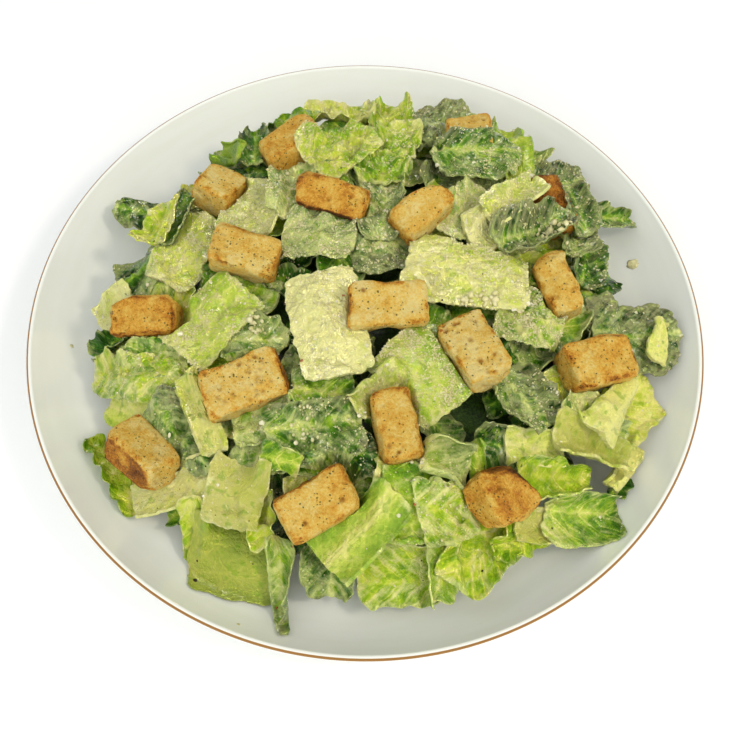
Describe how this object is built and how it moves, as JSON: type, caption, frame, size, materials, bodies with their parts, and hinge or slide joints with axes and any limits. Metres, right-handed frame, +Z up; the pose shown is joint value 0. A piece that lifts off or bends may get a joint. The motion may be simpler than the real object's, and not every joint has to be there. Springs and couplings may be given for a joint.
{
  "type": "caesar salad",
  "caption": "Caesar salad: heaped cut romaine with dressing, grated hard cheese and toasted bread croutons on a round white coupe plate.",
  "frame": {"origin": "on the table under the middle of the plate's foot ring", "axes": "+Z up; -Y towards the diner, the side the camera looks from; +X to the diner's right"},
  "size_m": [0.26, 0.26, 0.068],
  "materials": {
    "glazed_china": "glossy cream-white glaze",
    "romaine": "moist leaf with a film of creamy dressing and grated hard cheese",
    "toasted_bread": "dry toasted bread crumb with herb flecks and browned edges"
  },
  "bodies": {
    "root": {"plate": "glazed_china", "lettuce": "romaine", "crouton_01": "toasted_bread", "crouton_02": "toasted_bread", "crouton_03": "toasted_bread", "crouton_04": "toasted_bread", "crouton_05": "toasted_bread", "crouton_06": "toasted_bread", "crouton_07": "toasted_bread", "crouton_08": "toasted_bread", "crouton_09": "toasted_bread", "crouton_10": "toasted_bread", "crouton_11": "toasted_bread", "crouton_12": "toasted_bread", "crouton_13": "toasted_bread", "crouton_14": "toasted_bread", "crouton_15": "toasted_bread", "crouton_16": "toasted_bread", "crouton_17": "toasted_bread"}
  },
  "joints": []
}
